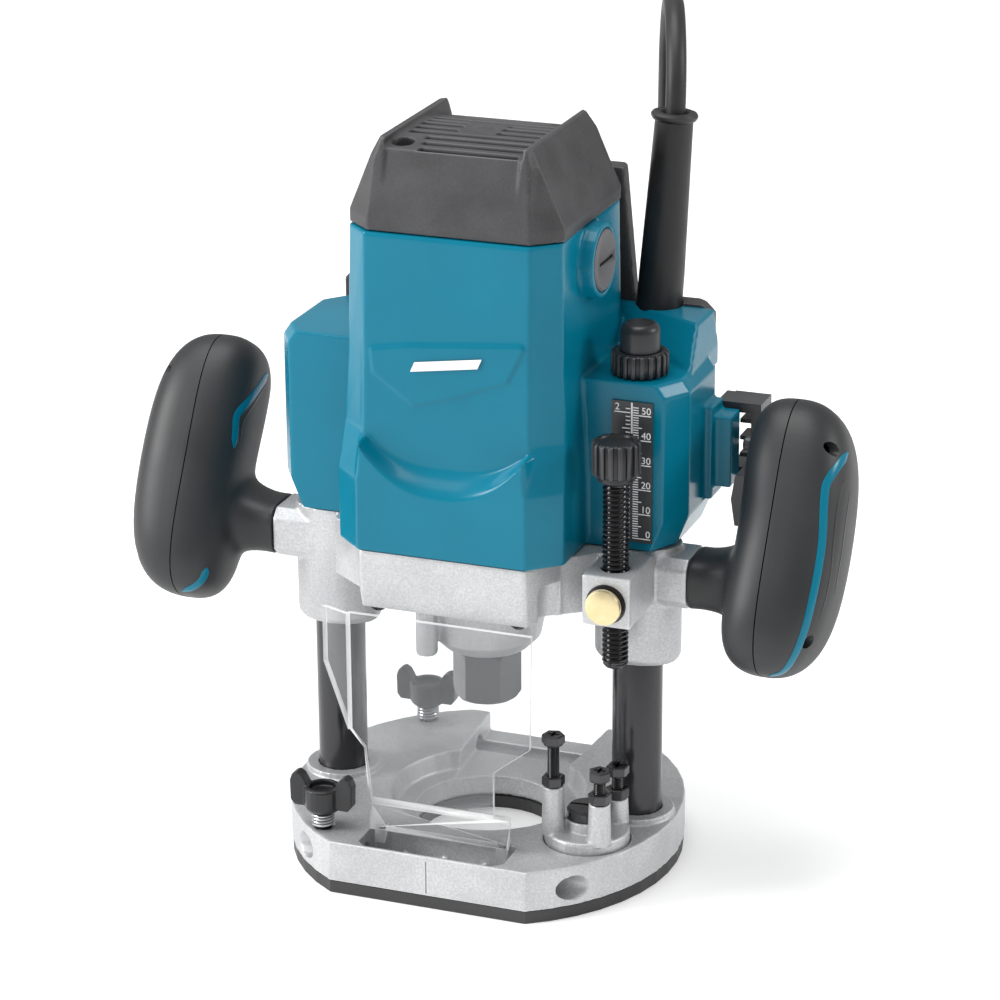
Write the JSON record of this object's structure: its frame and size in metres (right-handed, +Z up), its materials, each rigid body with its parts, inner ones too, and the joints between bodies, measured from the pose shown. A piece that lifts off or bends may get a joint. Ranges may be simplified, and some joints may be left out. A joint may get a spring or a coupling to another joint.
{
  "type": "plunge router",
  "caption": "Corded plunge router: a motor head with leaning grips slides on two pillars over a round cast base with a turning depth stop.",
  "frame": {"origin": "centre of the sub-base's underside, on the spindle's axis", "axes": "+Z up along the spindle, +X towards the right-hand grip, -Y towards the base's flat front"},
  "size_m": [0.2948, 0.413, 0.3359],
  "materials": {
    "cast_aluminium": "fine-grained cast, matt",
    "sole": "moulded, smooth",
    "black_steel": "blackened, satin",
    "steel": "turned, dull",
    "bright_steel": "ground, bright",
    "black_plastic": "moulded, satin",
    "clear_plastic": "clear moulded plastic",
    "housing_plastic": "moulded nylon, glossy teal",
    "cover_plastic": "moulded, spark-textured",
    "grip_plastic": "soft-touch satin",
    "guard_rubber": "moulded rubber, satin",
    "cord_rubber": "smooth rubber sheath",
    "scale_film": "printed film",
    "brass": "turned, satin",
    "copper": "turned copper segments",
    "carbon": "pressed carbon"
  },
  "bodies": {
    "base": {"sub_base": "sole", "base_plate": "cast_aluminium", "left_pillar": "black_steel", "right_pillar": "black_steel", "limit_rod": "steel", "limit_cap": "black_plastic", "chip_shield": "clear_plastic", "turret_screw": "black_steel", "clamp_spring_front": "bright_steel", "clamp_spring_rear": "bright_steel", "left_plunge_spring": "bright_steel", "right_plunge_spring": "bright_steel", "cord_lead": "cord_rubber", "cord_coil": "cord_rubber", "plug": "cord_rubber"},
    "head": {"column_housing": "cast_aluminium", "motor_housing": "housing_plastic", "top_cover": "cover_plastic", "rear_cover": "cover_plastic", "upper_bearing": "bright_steel", "lower_bearing": "bright_steel", "field_core": "steel", "brush_cap_left": "cover_plastic", "brush_cap_right": "cover_plastic", "carbon_brush_left": "carbon", "carbon_brush_right": "carbon", "scale_plate": "scale_film", "left_grip_inner": "grip_plastic", "left_grip_outer": "grip_plastic", "right_grip_inner": "grip_plastic", "right_grip_outer": "grip_plastic", "switch_body": "black_plastic", "cord_guard": "guard_rubber", "cable_clip": "black_plastic", "lock_bolt": "steel"},
    "spindle": {"spindle": "bright_steel", "armature_core": "steel", "commutator": "copper", "cooling_fan": "black_plastic", "collet": "bright_steel", "collet_nut": "steel"},
    "turret": {"stopper_block": "cast_aluminium", "stopper_bolt_1": "black_steel", "stopper_bolt_2": "black_steel", "stopper_bolt_3": "black_steel", "lock_nut_1": "black_steel", "lock_nut_2": "black_steel", "lock_nut_3": "black_steel"},
    "pole": {"stopper_pole": "black_steel", "pole_knob": "black_plastic"},
    "feed_button": {"feed_button": "brass"},
    "trigger": {"switch_trigger": "black_plastic"},
    "lock_off": {"lock_off_button": "black_plastic"},
    "lock_lever": {"lock_lever": "black_plastic"},
    "shaft_lock": {"shaft_lock": "black_plastic"},
    "limit_nut": {"limit_nut": "black_plastic"},
    "wing_front": {"wing_bolt_front": "black_plastic"},
    "wing_rear": {"wing_bolt_rear": "black_plastic"}
  },
  "joints": [
    {"name": "plunge", "type": "slide", "parent": "base", "child": "head", "axis": [0, 0, -1], "range_m": [0, 0.06], "stiffness_N_per_m": 450, "springref_m": -0.16, "deforming": ["left_plunge_spring", "right_plunge_spring", "cord_lead"]},
    {"name": "spindle_spin", "type": "hinge", "parent": "head", "child": "spindle", "pos_m": [0, 0, 0.1], "axis": [0, 0, 1], "continuous": true},
    {"name": "turret_turn", "type": "hinge", "parent": "base", "child": "turret", "pos_m": [0.053, -0.0295, 0.0265], "axis": [0, 0, 1], "range_deg": [-212, 46]},
    {"name": "pole_slide", "type": "slide", "parent": "head", "child": "pole", "axis": [0, 0, 1], "range_m": [-0.029, 0.02]},
    {"name": "feed_button_press", "type": "slide", "parent": "head", "child": "feed_button", "axis": [0, 1, 0], "range_m": [0, 0.002], "stiffness_N_per_m": 400, "springref_m": -0.002},
    {"name": "trigger_squeeze", "type": "slide", "parent": "head", "child": "trigger", "axis": [1, 0, 0], "range_m": [0, 0.004], "stiffness_N_per_m": 500, "springref_m": -0.002},
    {"name": "lock_off_press", "type": "slide", "parent": "head", "child": "lock_off", "axis": [1, 0, 0], "range_m": [0, 0.0025], "stiffness_N_per_m": 300, "springref_m": -0.002},
    {"name": "lock_lever_turn", "type": "hinge", "parent": "head", "child": "lock_lever", "pos_m": [-0.0636, 0.026, 0.1035], "axis": [0, -1, 0], "range_deg": [0, 25]},
    {"name": "shaft_lock_press", "type": "slide", "parent": "head", "child": "shaft_lock", "axis": [0, -1, 0], "range_m": [0, 0.004], "stiffness_N_per_m": 400, "springref_m": -0.002},
    {"name": "limit_nut_turn", "type": "hinge", "parent": "base", "child": "limit_nut", "pos_m": [0.0636, 0, 0.2115], "axis": [0, 0, 1], "continuous": true},
    {"name": "wing_front_turn", "type": "hinge", "parent": "base", "child": "wing_front", "pos_m": [-0.0486, -0.056, 0.03], "axis": [0, 0, 1], "continuous": true},
    {"name": "wing_rear_turn", "type": "hinge", "parent": "base", "child": "wing_rear", "pos_m": [-0.0486, 0.056, 0.03], "axis": [0, 0, 1], "continuous": true}
  ]
}
